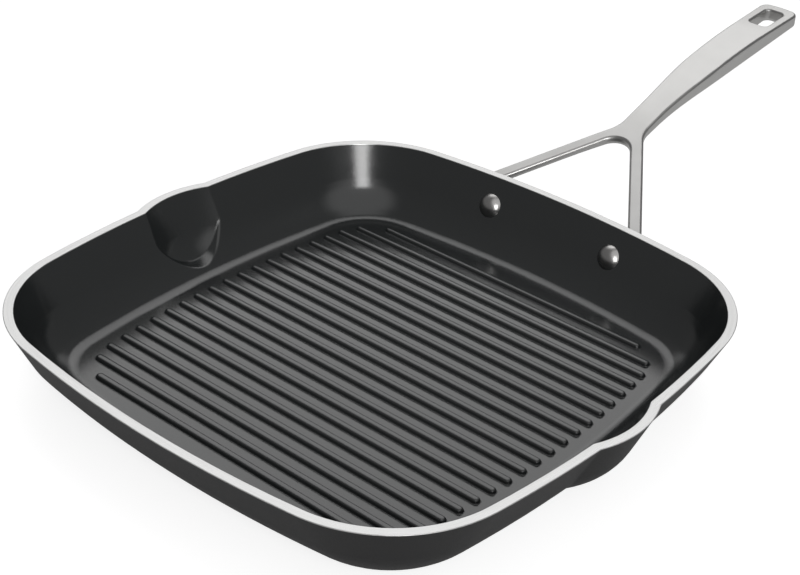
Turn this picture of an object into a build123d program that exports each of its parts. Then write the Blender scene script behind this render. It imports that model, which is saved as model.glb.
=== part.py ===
"""Square grill pan: a cast bowl with ridges and two pouring lips, and a forked steel handle on two rivets."""
import os
from math import asin, atan2, cos, radians, sin, sqrt, tan

from build123d import *

os.makedirs("parts", exist_ok=True)

# Bowl, seen from above: a square with bowed sides and round corners, measured at the rim
rim_width = 279.3
side_bow_radius = 580.0
rim_corner_radius = 63.0
rim_band_width = 4.5

# Bowl, seen from the side
pan_height = 40.0
wall_lean = 26.4
base_corner_radius = 34.3
base_round_radius = 35.3
cavity_depth = 33.2
floor_round_radius = 10.0
rim_edge_radius = 0.25

# Ridges on the cooking floor, all running from lip to lip, as many as fit
ridge_pitch = 9.57
ridge_width = 3.8
ridge_height = 1.8
ridge_top_radius = 1.3
ridge_end_margin = 8.2
ridge_corner_radius = 26.1

# Pouring lips in the middle of the left and right sides
lip_reach = 4.35
lip_radius = 51.0
lip_lean = 23.3
lip_foot_height = 3.0
lip_round_radius = 28.3
lip_shoulder_radius = 3.0
scoop_floor_height = 8.8
scoop_floor_radius = 25.0
scoop_floor_slope = 10.0
scoop_edge_radius = 1.2

# Turned rings in the resting face, as many as fit
base_ring_pitch = 20.0
base_ring_margin = 15.0
base_ring_width = 1.6
base_ring_depth = 0.5

# Rivets and the two pads that they hold against the wall
rivet_half_spread = 38.2
rivet_drop = 15.6
rivet_shank_diameter = 6.0
rivet_head_diameter = 12.5
rivet_head_height = 3.0
rivet_tail_diameter = 10.0
rivet_tail_height = 2.0
pad_diameter = 19.0
pad_thickness = 4.0
pad_edge_radius = 1.0
foot_diameter = 8.4
foot_spread = 9.2
foot_rise = 9.3

# Fork of the handle, seen from above
fork_reach = 60.9
fork_splay = 35.8
leg_width = 6.9
apex_radius = 10.0
armpit_radius = 15.0

# Grip of the handle, seen from above
handle_reach = 204.0
neck_width = 15.6
neck_reach = 70.0
shoulder_width = 21.0
shoulder_reach = 122.0
end_width = 23.6
end_corner_radius = 5.5
end_bow_radius = 60.0

# Handle, seen from the side: upper and lower line, each a slope, a bend and a flatter slope
leg_rise = 22.7
leg_top_drop = 1.6
leg_depth = 4.75
upper_bend_reach = 38.4
upper_bend_radius = 446.0
upper_end_rise = 5.3
lower_bend_reach = 26.3
lower_bend_radius = 395.0
lower_end_rise = 8.2
top_edge_radius = 1.4
under_edge_radius = 2.1

# Hang hole in the end of the grip
hang_hole_length = 21.0
hang_hole_width = 11.6
hang_hole_corner_radius = 3.0
hang_hole_end_margin = 6.8

rim_half = rim_width / 2
wall_thickness = rim_band_width * cos(radians(wall_lean))
floor_level = pan_height - cavity_depth
round_centre = rim_half - pan_height * tan(radians(wall_lean)) - base_round_radius * tan(radians(90 - wall_lean) / 2)
floor_half = round_centre + sqrt((base_round_radius - wall_thickness) ** 2 - (base_round_radius - floor_level) ** 2)
rim_setback = side_bow_radius - rim_half
rim_bow_reach = side_bow_radius - rim_corner_radius
rim_corner_centre = (sqrt(2 * rim_bow_reach**2 - rim_setback**2) - rim_setback) / 2
bow_turn = atan2(rim_corner_centre, rim_corner_centre + rim_setback)


def corner_centre(half, corner_radius):
    """Distance along x and y of a corner arc's centre; every outline turns through the same angles."""
    return (half - corner_radius) / (1 + tan(bow_turn / 2))


def side_reach(across, half, corner_radius):
    """How far the rounded square reaches sideways at a distance across its middle line."""
    centre = corner_centre(half, corner_radius)
    bow_radius = centre / sin(bow_turn) + corner_radius
    if abs(across) <= bow_radius * sin(bow_turn):
        return sqrt(bow_radius**2 - across**2) - (bow_radius - half)
    return centre + sqrt(corner_radius**2 - (abs(across) - centre) ** 2)


def rounded_square(half, corner_radius):
    """Face with four bowed sides and four corner arcs."""
    centre = corner_centre(half, corner_radius)
    bow_radius = centre / sin(bow_turn) + corner_radius
    end_y = bow_radius * sin(bow_turn)
    end_x = half - bow_radius + bow_radius * cos(bow_turn)
    side_start, side_middle, side_end = Vector(end_x, -end_y), Vector(half, 0), Vector(end_x, end_y)
    corner_reach = centre + corner_radius / sqrt(2)
    corner_middle = Vector(corner_reach, corner_reach)
    with BuildSketch() as square:
        with BuildLine():
            for turn in (0, 90, 180, 270):
                side = [point.rotate(Axis.Z, turn) for point in (side_start, side_middle, side_end)]
                ThreePointArc(*side)
                next_side = side_start.rotate(Axis.Z, turn + 90)
                ThreePointArc(side[2], corner_middle.rotate(Axis.Z, turn), next_side)
        make_face()
    return square.sketch


def bowl(inset, raised):
    """Solid inside a wall that leans in from the rim, less at the corners, and rounds into a flat base."""
    drop = pan_height - raised
    lower_half = rim_half - drop * tan(radians(wall_lean))
    lower_corner = rim_corner_radius - drop / pan_height * (rim_corner_radius - base_corner_radius)
    with BuildPart() as shape:
        with BuildSketch(Plane.XY.offset(raised)):
            add(rounded_square(lower_half - inset, lower_corner - inset))
        with BuildSketch(Plane.XY.offset(pan_height)):
            add(rounded_square(rim_half - inset, rim_corner_radius - inset))
        loft(ruled=True)
        base_edges = shape.faces().sort_by(Axis.Z)[0].edges()
        fillet(base_edges, radius=base_round_radius - raised)
    return shape.part


def lip(inset, raised):
    """Round bulge of the right wall: a cone that leans less than the wall and rounds in above the base."""
    foot = lip_foot_height + raised
    with BuildPart() as shape:
        with BuildSketch(Plane.XY.offset(pan_height)):
            with Locations((rim_half + lip_reach - lip_radius, 0)):
                Circle(lip_radius - inset)
        extrude(amount=foot - pan_height, taper=lip_lean)
        fillet(shape.faces().sort_by(Axis.Z)[0].edges(), radius=lip_round_radius - raised)
    return shape.part


def wall_plane_at(drop, across):
    """Plane on the outer wall of the handle side, a drop below the rim and a way off the middle, facing out."""
    lean = radians(wall_lean)
    inset = drop * tan(lean)
    bow = side_bow_radius - inset
    turn = asin(across / bow)
    return Plane(
        origin=(across, rim_half - inset - bow * (1 - cos(turn)), pan_height - drop),
        x_dir=(-cos(turn), sin(turn), 0),
        z_dir=(cos(lean) * sin(turn), cos(lean) * cos(turn), -sin(lean)),
    )


rivet_planes = [wall_plane_at(rivet_drop, side * rivet_half_spread) for side in (-1, 1)]
outer_bowl = bowl(0, 0)
outer_lip = lip(0, 0)

# Outside of the bowl with its two lips, rounded where they leave the wall
with BuildPart() as outside:
    add(outer_bowl)
    lips = [add(outer_lip), mirror(outer_lip, about=Plane.YZ)]
    shoulders = new_edges(outer_bowl, *lips, combined=outside.part)
    fillet(shoulders, radius=lip_shoulder_radius)

# Scoop of the right lip: the inside of the bulge, cut to a round floor that rises gently outward
with BuildPart() as scoop:
    add(lip(rim_band_width, wall_thickness))
    with BuildSketch(Plane.YZ.offset(floor_half)):
        with Locations((0, scoop_floor_height + scoop_floor_radius)):
            Circle(scoop_floor_radius)
            Rectangle(2 * scoop_floor_radius, pan_height, align=(Align.CENTER, Align.MIN))
    extrude(amount=lip_radius, taper=scoop_floor_slope, mode=Mode.INTERSECT)

# Inside of the bowl: the wall rounds into the floor, and each lip is a scoop with a ledge at its lower end
with BuildPart() as cavity:
    add(bowl(rim_band_width, wall_thickness))
    split(bisect_by=Plane.XY.offset(floor_level), keep=Keep.TOP)
    fillet(cavity.faces().sort_by(Axis.Z)[0].edges(), radius=floor_round_radius)
    plain_cavity = cavity.part
    scoops = [add(scoop.part), mirror(scoop.part, about=Plane.YZ)]
    fillet(new_edges(plain_cavity, *scoops, combined=cavity.part), radius=scoop_edge_radius)

# Ridges: bars with round ends that follow the outline of the floor
with BuildPart() as ridges:
    field_half = floor_half - ridge_end_margin
    field_side = corner_centre(field_half, ridge_corner_radius) + ridge_corner_radius * cos(bow_turn)
    rows_each_side = int(field_side / ridge_pitch)
    for row in range(-rows_each_side, rows_each_side + 1):
        place = row * ridge_pitch
        reach = side_reach(place, field_half, ridge_corner_radius)
        with BuildSketch(Plane.XY.offset(floor_level)):
            with Locations((0, place)):
                SlotOverall(2 * reach, ridge_width)
        extrude(amount=ridge_height)
    fillet(ridges.faces().filter_by(Axis.Z).group_by(Axis.Z)[-1].edges(), radius=ridge_top_radius)

# Bowl, one casting: outside less inside, with the ridges, the rivet holes and the turned rings below
with BuildPart() as pan_body:
    add(outside.part)
    add(cavity.part, mode=Mode.SUBTRACT)
    fillet(pan_body.faces().filter_by(Axis.Z).sort_by(Axis.Z)[-1].edges(), radius=rim_edge_radius)
    add(ridges.part)
    with Locations(*[plane.location for plane in rivet_planes]):
        Cylinder(rivet_shank_diameter / 2, 2 * rim_band_width, mode=Mode.SUBTRACT)
    with BuildSketch():
        for ring in range(int((round_centre - base_ring_margin) / base_ring_pitch), 0, -1):
            Circle(ring * base_ring_pitch + base_ring_width / 2)
            Circle(ring * base_ring_pitch - base_ring_width / 2, mode=Mode.SUBTRACT)
    extrude(amount=base_ring_depth, mode=Mode.SUBTRACT)
pan_body.part.label = "pan_body"
export_step(pan_body.part, "parts/pan_body.step")
print("pan_body", pan_body.part.is_valid, len(pan_body.part.solids()), pan_body.part.volume)


def side_line(start, bend_reach, bend_radius, end_rise):
    """Ends of one long line of the handle seen from the side: a slope, a bend and a flatter slope."""
    slope = PolarLine(start, rim_half + bend_reach - start.X, leg_rise, length_mode=LengthMode.HORIZONTAL)
    bend = JernArc(slope @ 1, slope % 1, bend_radius, end_rise - leg_rise)
    rest = rim_half + handle_reach + leg_depth - (bend @ 1).X
    end = PolarLine(bend @ 1, rest, end_rise, length_mode=LengthMode.HORIZONTAL)
    return slope @ 0, end @ 1


# Pads of the handle: flat drops on the outer wall, round about the rivet and drawn out to the foot of a leg
with BuildPart() as pads:
    for side, plane in zip((-1, 1), rivet_planes):
        with BuildSketch(plane):
            Circle(pad_diameter / 2)
            with Locations((-side * foot_spread, foot_rise)):
                Circle(foot_diameter / 2)
            make_hull()
        extrude(amount=pad_thickness, both=True)
    fillet(pads.faces().group_by(Axis.Y)[-1].edges(), radius=pad_edge_radius)

# Outline of the handle seen from above: two legs run into a neck, and the neck widens into the grip
fork_y = rim_half + fork_reach
foot_y = rim_half - pad_diameter
foot_x = (fork_y - foot_y) * tan(radians(fork_splay))
leg_side = leg_width / 2 / cos(radians(fork_splay))
apex = Vector(0, fork_y - leg_side / tan(radians(fork_splay)))
armpit = Vector(neck_width / 2, fork_y - (neck_width / 2 - leg_side) / tan(radians(fork_splay)))
shoulder = Vector(shoulder_width / 2, rim_half + shoulder_reach)
end_middle = Vector(0, rim_half + handle_reach)
end_drop = end_bow_radius - sqrt(end_bow_radius**2 - (end_width / 2) ** 2)
end_corner = end_middle + Vector(end_width / 2, -end_drop)
hang_hole_y = end_middle.Y - hang_hole_end_margin - hang_hole_length / 2
with BuildSketch() as plan:
    with BuildLine():
        Polyline(apex, (foot_x - leg_side, foot_y), (foot_x + leg_side, foot_y), armpit)
        neck = Line(armpit, (neck_width / 2, rim_half + neck_reach))
        Spline(neck @ 1, shoulder, tangents=(neck % 1, end_corner - shoulder))
        Line(shoulder, end_corner)
        RadiusArc(end_corner, end_middle, -end_bow_radius)
        mirror(about=Plane.YZ)
    make_face()
    fillet(plan.vertices().sort_by_distance(apex)[0], radius=apex_radius)
    for point, radius in ((armpit, armpit_radius), (end_corner, end_corner_radius)):
        for place in (point, Vector(-point.X, point.Y)):
            fillet(plan.vertices().sort_by_distance(place)[0], radius=radius)
    with Locations((0, hang_hole_y)):
        RectangleRounded(hang_hole_width, hang_hole_length, hang_hole_corner_radius, mode=Mode.SUBTRACT)

# Handle, one casting: the outline from above cut to the long bend seen from the side, with its pads
with BuildPart() as handle:
    add(plan.sketch)
    extrude(amount=handle_reach)
    with BuildSketch(Plane.YZ):
        with BuildLine():
            top_start = Vector(foot_y, pan_height - leg_top_drop - (rim_half - foot_y) * tan(radians(leg_rise)))
            under_start = top_start - Vector(0, leg_depth)
            top_ends = side_line(top_start, upper_bend_reach, upper_bend_radius, upper_end_rise)
            under_ends = side_line(under_start, lower_bend_reach, lower_bend_radius, lower_end_rise)
            Line(top_ends[0], under_ends[0])
            Line(top_ends[1], under_ends[1])
        make_face()
    extrude(amount=rim_half, both=True, mode=Mode.INTERSECT)
    level = handle.faces().filter_by(lambda face: abs(face.normal_at().Z) > sin(radians(leg_rise)))
    upright = handle.faces() - level
    feet = upright.filter_by(lambda face: face.center().Y < rim_half - foot_spread)
    long_edges = level.edges() & (upright - feet).edges()
    top_edges = long_edges & level.filter_by(lambda face: face.normal_at().Z > 0).edges()
    fillet(long_edges - top_edges, radius=under_edge_radius)
    fillet(top_edges, radius=top_edge_radius)
    add(pads.part)
    add(outer_bowl, mode=Mode.SUBTRACT)
    with Locations(*[plane.location for plane in rivet_planes]):
        Cylinder(rivet_shank_diameter / 2, 2 * (wall_thickness + pad_thickness), mode=Mode.SUBTRACT)
handle.part.label = "handle"
export_step(handle.part, "parts/handle.step")
print("handle", handle.part.is_valid, len(handle.part.solids()), handle.part.volume)

# Rivet, turned: a domed head inside the bowl, a shank through wall and pad, and a lower dome on the pad
head_half, shank_half, tail_half = rivet_head_diameter / 2, rivet_shank_diameter / 2, rivet_tail_diameter / 2
head_seat = -wall_thickness - head_half**2 / side_bow_radius / 2
with BuildPart() as rivet_form:
    with BuildSketch(Plane.XZ):
        with BuildLine():
            head = TangentArc((0, head_seat - rivet_head_height), (head_half, head_seat), tangent=(1, 0))
            tail = TangentArc((0, pad_thickness + rivet_tail_height), (tail_half, pad_thickness), tangent=(1, 0))
            Polyline(head @ 1, (shank_half, head_seat), (shank_half, pad_thickness), tail @ 1)
            Line(head @ 0, tail @ 0)
        make_face()
    revolve(axis=Axis.Z)

for name, plane in zip(("rivet_left", "rivet_right"), rivet_planes):
    with BuildPart() as rivet:
        with Locations(plane.location):
            add(rivet_form.part)
    rivet.part.label = name
    export_step(rivet.part, f"parts/{name}.step")
    print(name, rivet.part.is_valid, len(rivet.part.solids()), rivet.part.volume)
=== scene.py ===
import math

import bpy
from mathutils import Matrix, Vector

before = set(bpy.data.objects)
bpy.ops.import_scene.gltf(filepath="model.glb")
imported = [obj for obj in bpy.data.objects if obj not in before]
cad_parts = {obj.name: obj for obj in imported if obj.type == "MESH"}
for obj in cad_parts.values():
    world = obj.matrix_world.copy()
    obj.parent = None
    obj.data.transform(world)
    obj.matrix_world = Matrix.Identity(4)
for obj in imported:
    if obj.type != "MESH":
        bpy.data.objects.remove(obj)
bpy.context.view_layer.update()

# Camera
# It looks down over the front right corner of the pan, with a long lens and a slight roll.
camera_place = (0.4159, -0.4689, 0.4241)
camera_turn = (59.1029, -3.7113, 38.8639)
camera_film_width = 36
camera_lens = 73.165
camera_shift = -0.125
camera_nearest = 0.02
bpy.ops.object.select_all(action="DESELECT")
bpy.ops.object.camera_add(location=camera_place, rotation=[math.radians(turn) for turn in camera_turn])
camera = bpy.context.object
camera.data.sensor_width = camera_film_width
camera.data.lens = camera_lens
camera.data.shift_x = camera_shift
camera.data.clip_start = camera_nearest
bpy.context.scene.camera = camera

# Studio
# A wide pale table in a room that looks white, but that reflections see as one bright side behind the pan, a
# dimmer patch overhead and a dark rest. A tall narrow soft box stands at the front right, and a broad one shines
# down from the back left.
white = (1, 1, 1, 1)
floor_half_width = 6.0
floor_colour = (0.62, 0.62, 0.62, 1)
floor_roughness = 0.9
floor_own_light = 0.78
floor_in_reflections = 0.22
room_dark = 0.15
bright_side = (-0.45, 0.5, 0.74)
bright_edge = (0.86, 0.945)
bright_light = 1.22
bright_foot = (0.4, 0.52)
bright_foot_share = 0.5
overhead_side = (0.5, -0.25, 0.83)
overhead_edge = (0.72, 0.9)
overhead_light = 0.6
lamps_aim = (0, 0, 0)
tall_box_place = (0.95, -0.72, 0.56)
tall_box_size = (0.34, 0.7)
tall_box_watts = 4.6
broad_box_place = (-1.5, 1.6, 0.75)
broad_box_size = (2.2, 1.1)
broad_box_watts = 3.2


def filled(tree, socket, value):
    """Sets a socket to a value, or links it where the value is another node's socket."""
    if isinstance(value, bpy.types.NodeSocket):
        tree.links.new(value, socket)
    else:
        socket.default_value = value


def node(tree, kind, **inputs):
    """A new node in the tree, with the named inputs filled."""
    made = tree.nodes.new("ShaderNode" + kind)
    for name, value in inputs.items():
        filled(tree, made.inputs[name.replace("_", " ")], value)
    return made


def worked_out(tree, operation, *values):
    """Result of a Math node with the values in order."""
    made = tree.nodes.new("ShaderNodeMath")
    made.operation = operation
    for socket, value in zip(made.inputs, values):
        filled(tree, socket, value)
    return made.outputs["Value"]


def ranged(tree, value, low, high, at_low, at_high, soft=False):
    """A value that runs from at_low to at_high while the given one runs from low to high."""
    made = node(tree, "MapRange", Value=value, From_Min=low, From_Max=high, To_Min=at_low, To_Max=at_high)
    made.interpolation_type = "SMOOTHSTEP" if soft else "LINEAR"
    return made.outputs["Result"]


def seen_directly(tree, paths):
    """1 for what the camera sees, directly or through a clear thing, and 0 for the rest."""
    return worked_out(tree, "MAXIMUM", paths["Is Camera Ray"], paths["Is Transmission Ray"])


def facing_side(tree, ray, side):
    """How far a ray of the room points to a side: 1 straight at it, 0 square to it."""
    way = node(tree, "VectorMath")
    way.operation = "DOT_PRODUCT"
    tree.links.new(ray, way.inputs[0])
    way.inputs[1].default_value = Vector(side).normalized()
    return way.outputs["Value"]


def soft_box(name, place, size, watts):
    """A rectangular lamp at a place, turned to face the pan, with its width and height as its size."""
    bpy.ops.object.light_add(type="AREA", location=place)
    lamp = bpy.context.object
    lamp.name = name
    lamp.rotation_euler = (Vector(lamps_aim) - Vector(place)).to_track_quat("-Z", "Y").to_euler()
    lamp.data.shape = "RECTANGLE"
    lamp.data.size, lamp.data.size_y = size
    lamp.data.energy = watts


# The floor's own light makes it white to the eye, and only a part of that light shows in reflections
bpy.ops.mesh.primitive_plane_add(size=2 * floor_half_width, location=(0, 0, 0))
floor = bpy.context.object
floor.name = "studio_floor"
floor_material = bpy.data.materials.new("studio_floor")
floor_material.use_nodes = True
tree = floor_material.node_tree
matt = tree.nodes["Principled BSDF"]
matt.inputs["Base Color"].default_value = floor_colour
matt.inputs["Roughness"].default_value = floor_roughness
paths = node(tree, "LightPath").outputs
shown = worked_out(tree, "MULTIPLY_ADD", paths["Is Glossy Ray"], floor_in_reflections, seen_directly(tree, paths))
own_light = node(tree, "Emission", Color=white, Strength=worked_out(tree, "MULTIPLY", shown, floor_own_light))
both = node(tree, "AddShader")
tree.links.new(matt.outputs[0], both.inputs[0])
tree.links.new(own_light.outputs[0], both.inputs[1])
tree.links.new(both.outputs[0], tree.nodes["Material Output"].inputs["Surface"])
floor.data.materials.append(floor_material)

# The room's bright side fades towards the table, and where its parts overlap the brightest one counts
room = bpy.data.worlds.new("studio_room")
bpy.context.scene.world = room
room.use_nodes = True
tree = room.node_tree
ray = node(tree, "TexCoord").outputs["Generated"]
upward = node(tree, "SeparateXYZ", Vector=ray).outputs["Z"]
behind = ranged(tree, facing_side(tree, ray, bright_side), *bright_edge, room_dark, bright_light, soft=True)
behind = worked_out(tree, "MULTIPLY", behind, ranged(tree, upward, *bright_foot, bright_foot_share, 1))
above = ranged(tree, facing_side(tree, ray, overhead_side), *overhead_edge, room_dark, overhead_light, soft=True)
around = worked_out(tree, "MAXIMUM", worked_out(tree, "MAXIMUM", behind, room_dark), above)
seen = seen_directly(tree, node(tree, "LightPath").outputs)
background = tree.nodes["Background"]
background.inputs["Color"].default_value = white
tree.links.new(worked_out(tree, "MAXIMUM", around, seen), background.inputs["Strength"])

soft_box("tall_box", tall_box_place, tall_box_size, tall_box_watts)
soft_box("broad_box", broad_box_place, broad_box_size, broad_box_watts)

# Bowl
# One aluminium casting: glossy black non-stick coating with a fine speckle inside, satin black coating outside,
# and the flat rim ground bare after coating. Its inner edges are shaded rounder than they are cut.
pan_rim_height = 0.04
rim_band_depth = 0.0003
outer_wall_reach = 0.112
outward_least = 0.01
underside_facing = -0.3
rim_squareness = 3.8
inside_black = (0.025, 0.0275, 0.028, 1)
outside_black = (0.022, 0.022, 0.0225, 1)
bare_aluminium = (0.68, 0.68, 0.675, 1)
coating_ior = 1.82
inside_shine = 0.5
outside_shine = 0.13
shine_in_reflections = 0.06
inside_roughness = (0.14, 0.2)
inside_smear_roughness = (0, 0.02)
outside_roughness = (0.5, 0.58)
rim_roughness = (0.24, 0.36)
rim_line_heights = (0.3, 0.7)
coating_grain = 2600.0
coating_smears = 16.0
rim_lines = 2600.0
soft_edge_radius = 0.0012
soft_edge_samples = 6
sharp_edge_depth = 0.003
peel_strength = 0.08
peel_depth = 0.0002
mix_sockets = {"FLOAT": (2, 3, 0), "VECTOR": (4, 5, 1), "RGBA": (6, 7, 2)}


def effect(name, inputs, outputs):
    """An empty node group with named inputs (name, kind, start value) and outputs (name, kind)."""
    group = bpy.data.node_groups.new(name, "ShaderNodeTree")
    for label, kind, start in inputs:
        socket = group.interface.new_socket(name=label, in_out="INPUT", socket_type="NodeSocket" + kind)
        if start is not None:
            socket.default_value = start
    for label, kind in outputs:
        group.interface.new_socket(name=label, in_out="OUTPUT", socket_type="NodeSocket" + kind)
    return group, group.nodes.new("NodeGroupInput").outputs, group.nodes.new("NodeGroupOutput").inputs


def placed(tree, group, **inputs):
    """The outputs of a node group that is placed in a material with its inputs filled."""
    made = tree.nodes.new("ShaderNodeGroup")
    made.node_tree = group
    for name, value in inputs.items():
        filled(tree, made.inputs[name], value)
    return made.outputs


def mixed(tree, kind, mask, first, second):
    """Number, direction or colour, by its kind, that goes from the first to the second with the mask.

    mix_sockets says for each kind where the first and the second go in and where the result comes out.
    """
    made = tree.nodes.new("ShaderNodeMix")
    made.data_type = kind
    first_socket, second_socket, result = mix_sockets[kind]
    filled(tree, made.inputs[0], mask)
    filled(tree, made.inputs[first_socket], first)
    filled(tree, made.inputs[second_socket], second)
    return made.outputs[result]


def finish(name, *pieces):
    """A new material, given to the pieces: its tree, its shader's inputs, and the place as a whole and by axis."""
    material = bpy.data.materials.new(name)
    material.use_nodes = True
    for piece in pieces:
        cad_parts[piece].data.materials.clear()
        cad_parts[piece].data.materials.append(material)
    tree = material.node_tree
    place = node(tree, "TexCoord").outputs["Object"]
    axes = node(tree, "SeparateXYZ", Vector=place)
    return tree, tree.nodes["Principled BSDF"].inputs, place, axes.outputs


# Speckle: the fine orange peel of a sprayed coating or a tumbled casting, as a height and as a mask of its grains
speckle_coarse_scale = 0.3
speckle_coarse_share = 0.6
speckle_grain_band = (0.42, 0.62)
speckle, given, result = effect(
    "sprayed_speckle", [("Position", "Vector", None), ("Grain", "Float", coating_grain)],
    [("Height", "Float"), ("Grains", "Float")])
fine = node(speckle, "TexNoise", Vector=given["Position"], Scale=given["Grain"], Detail=2.0).outputs["Fac"]
coarse_grain = worked_out(speckle, "MULTIPLY", given["Grain"], speckle_coarse_scale)
coarse = node(speckle, "TexNoise", Vector=given["Position"], Scale=coarse_grain, Detail=1.0).outputs["Fac"]
height = worked_out(speckle, "MULTIPLY_ADD", coarse, speckle_coarse_share, fine)
speckle.links.new(height, result["Height"])
speckle.links.new(ranged(speckle, fine, *speckle_grain_band, 0.0, 1.0), result["Grains"])

# Handling: broad faint smears, as a mask
smear_band = (0.35, 0.7)
handling, given, result = effect(
    "handling_marks", [("Position", "Vector", None), ("Size", "Float", coating_smears)], [("Smears", "Float")])
broad = node(handling, "TexNoise", Vector=given["Position"], Scale=given["Size"], Detail=4.0).outputs["Fac"]
handling.links.new(ranged(handling, broad, *smear_band, 0.0, 1.0), result["Smears"])

# Grinding: fine lines that run along one coordinate and change across the other, as a height
line_stretch = 0.02
grinding, given, result = effect(
    "grinding_lines", [("Across", "Float", None), ("Along", "Float", None), ("Lines", "Float", rim_lines)],
    [("Height", "Float")])
drawn_out = worked_out(grinding, "MULTIPLY", given["Along"], line_stretch)
stretched = node(grinding, "CombineXYZ", X=given["Across"], Y=drawn_out).outputs[0]
lines = node(grinding, "TexNoise", Vector=stretched, Scale=given["Lines"], Detail=3.0).outputs["Fac"]
grinding.links.new(lines, result["Height"])

# Masks: outside is what looks outward from beyond the ridges, and the underside; rim is the flat ground band
tree, coat, place, (x, y, z) = finish("coated_aluminium", "pan_body")
true_facing = node(tree, "NewGeometry").outputs["Normal"]
facing = node(tree, "SeparateXYZ", Vector=true_facing).outputs
across_y = worked_out(tree, "MULTIPLY", facing["X"], x)
outward = worked_out(tree, "MULTIPLY_ADD", facing["Y"], y, across_y)
reach = worked_out(tree, "MAXIMUM", worked_out(tree, "ABSOLUTE", x), worked_out(tree, "ABSOLUTE", y))
on_wall = worked_out(tree, "MULTIPLY", worked_out(tree, "GREATER_THAN", outward, outward_least),
                     worked_out(tree, "GREATER_THAN", reach, outer_wall_reach))
below = worked_out(tree, "LESS_THAN", facing["Z"], underside_facing)
outside = worked_out(tree, "MAXIMUM", on_wall, below)
rim = worked_out(tree, "GREATER_THAN", z, pan_rim_height - rim_band_depth)

# Patterns: the grinding lines follow the rim's round square
spray = placed(tree, speckle, Position=place, Grain=coating_grain)
smears = placed(tree, handling, Position=place, Size=coating_smears)["Smears"]
raised = [worked_out(tree, "POWER", worked_out(tree, "ABSOLUTE", axis), rim_squareness) for axis in (x, y)]
round_rim = worked_out(tree, "POWER", worked_out(tree, "ADD", *raised), 1 / rim_squareness)
ground = placed(tree, grinding, Across=round_rim, Along=worked_out(tree, "ADD", x, y), Lines=rim_lines)["Height"]

# Finish: in reflections the coating has nearly no shine of its own, or else the wall, mirrored in the flat margin
# around the ridges, lights it up
coat["IOR"].default_value = coating_ior
shine = mixed(tree, "FLOAT", outside, inside_shine, outside_shine)
in_reflection = node(tree, "LightPath").outputs["Is Glossy Ray"]
filled(tree, coat["Specular IOR Level"], ranged(tree, in_reflection, 0, 1, shine, shine_in_reflections))
black = mixed(tree, "RGBA", outside, inside_black, outside_black)
filled(tree, coat["Base Color"], mixed(tree, "RGBA", rim, black, bare_aluminium))
filled(tree, coat["Metallic"], rim)
inside_finish = worked_out(tree, "ADD", ranged(tree, spray["Grains"], 0, 1, *inside_roughness),
                           ranged(tree, smears, 0, 1, *inside_smear_roughness))
outside_finish = ranged(tree, spray["Grains"], 0, 1, *outside_roughness)
rim_finish = ranged(tree, ground, *rim_line_heights, *rim_roughness)
coated_finish = mixed(tree, "FLOAT", outside, inside_finish, outside_finish)
filled(tree, coat["Roughness"], mixed(tree, "FLOAT", rim, coated_finish, rim_finish))

# Relief: edges rounded in the shading only, apart from the rim's own, with the peel and the lines on top
rounded = node(tree, "Bevel", Radius=soft_edge_radius)
rounded.samples = soft_edge_samples
near_rim = worked_out(tree, "GREATER_THAN", z, pan_rim_height - sharp_edge_depth)
softened = mixed(tree, "VECTOR", near_rim, rounded.outputs["Normal"], true_facing)
relief = mixed(tree, "FLOAT", rim, spray["Height"], ground)
peel = node(tree, "Bump", Strength=peel_strength, Distance=peel_depth, Normal=softened, Height=relief)
filled(tree, coat["Normal"], peel.outputs["Normal"])

# Handle
# One casting of stainless steel, tumbled and then linished lengthwise to a satin. It is a little brighter where
# hands and hooks rub.
steel = (0.575, 0.57, 0.56, 1)
steel_rubbed = (0.615, 0.61, 0.6, 1)
steel_roughness = (0.3, 0.36)
steel_grain_roughness = (0, 0.05)
steel_grain = 3200.0
steel_smears = 22.0
steel_lines = 3600.0
satin_strength = 0.08
satin_depth = 0.0001
tree, metal, place, (x, y, z) = finish("handle_steel", "handle")
smears = placed(tree, handling, Position=place, Size=steel_smears)["Smears"]
spray = placed(tree, speckle, Position=place, Grain=steel_grain)
lengthwise = placed(tree, grinding, Across=worked_out(tree, "ADD", x, z), Along=y, Lines=steel_lines)["Height"]
filled(tree, metal["Base Color"], mixed(tree, "RGBA", smears, steel_rubbed, steel))
metal["Metallic"].default_value = 1
satin_finish = worked_out(tree, "ADD", ranged(tree, smears, 0, 1, *steel_roughness),
                          ranged(tree, spray["Grains"], 0, 1, *steel_grain_roughness))
filled(tree, metal["Roughness"], satin_finish)
relief = worked_out(tree, "ADD", lengthwise, spray["Height"])
satin = node(tree, "Bump", Strength=satin_strength, Distance=satin_depth, Height=relief)
filled(tree, metal["Normal"], satin.outputs["Normal"])

# Rivets
# Two turned stainless rivets, their heads polished bright inside the bowl, with faint lines from the header.
rivet_bright = (0.6, 0.59, 0.58, 1)
rivet_roughness = (0.26, 0.32)
rivet_smears = 90.0
rivet_lines = 5000.0
polish_strength = 0.04
polish_depth = 0.0001
tree, metal, place, (x, y, z) = finish("rivet_steel", "rivet_left", "rivet_right")
smears = placed(tree, handling, Position=place, Size=rivet_smears)["Smears"]
turned = placed(tree, grinding, Across=z, Along=x, Lines=rivet_lines)["Height"]
metal["Base Color"].default_value = rivet_bright
metal["Metallic"].default_value = 1
filled(tree, metal["Roughness"], ranged(tree, smears, 0, 1, *rivet_roughness))
polish = node(tree, "Bump", Strength=polish_strength, Distance=polish_depth, Height=turned)
filled(tree, metal["Normal"], polish.outputs["Normal"])

bpy.context.scene.view_settings.view_transform = "Standard"
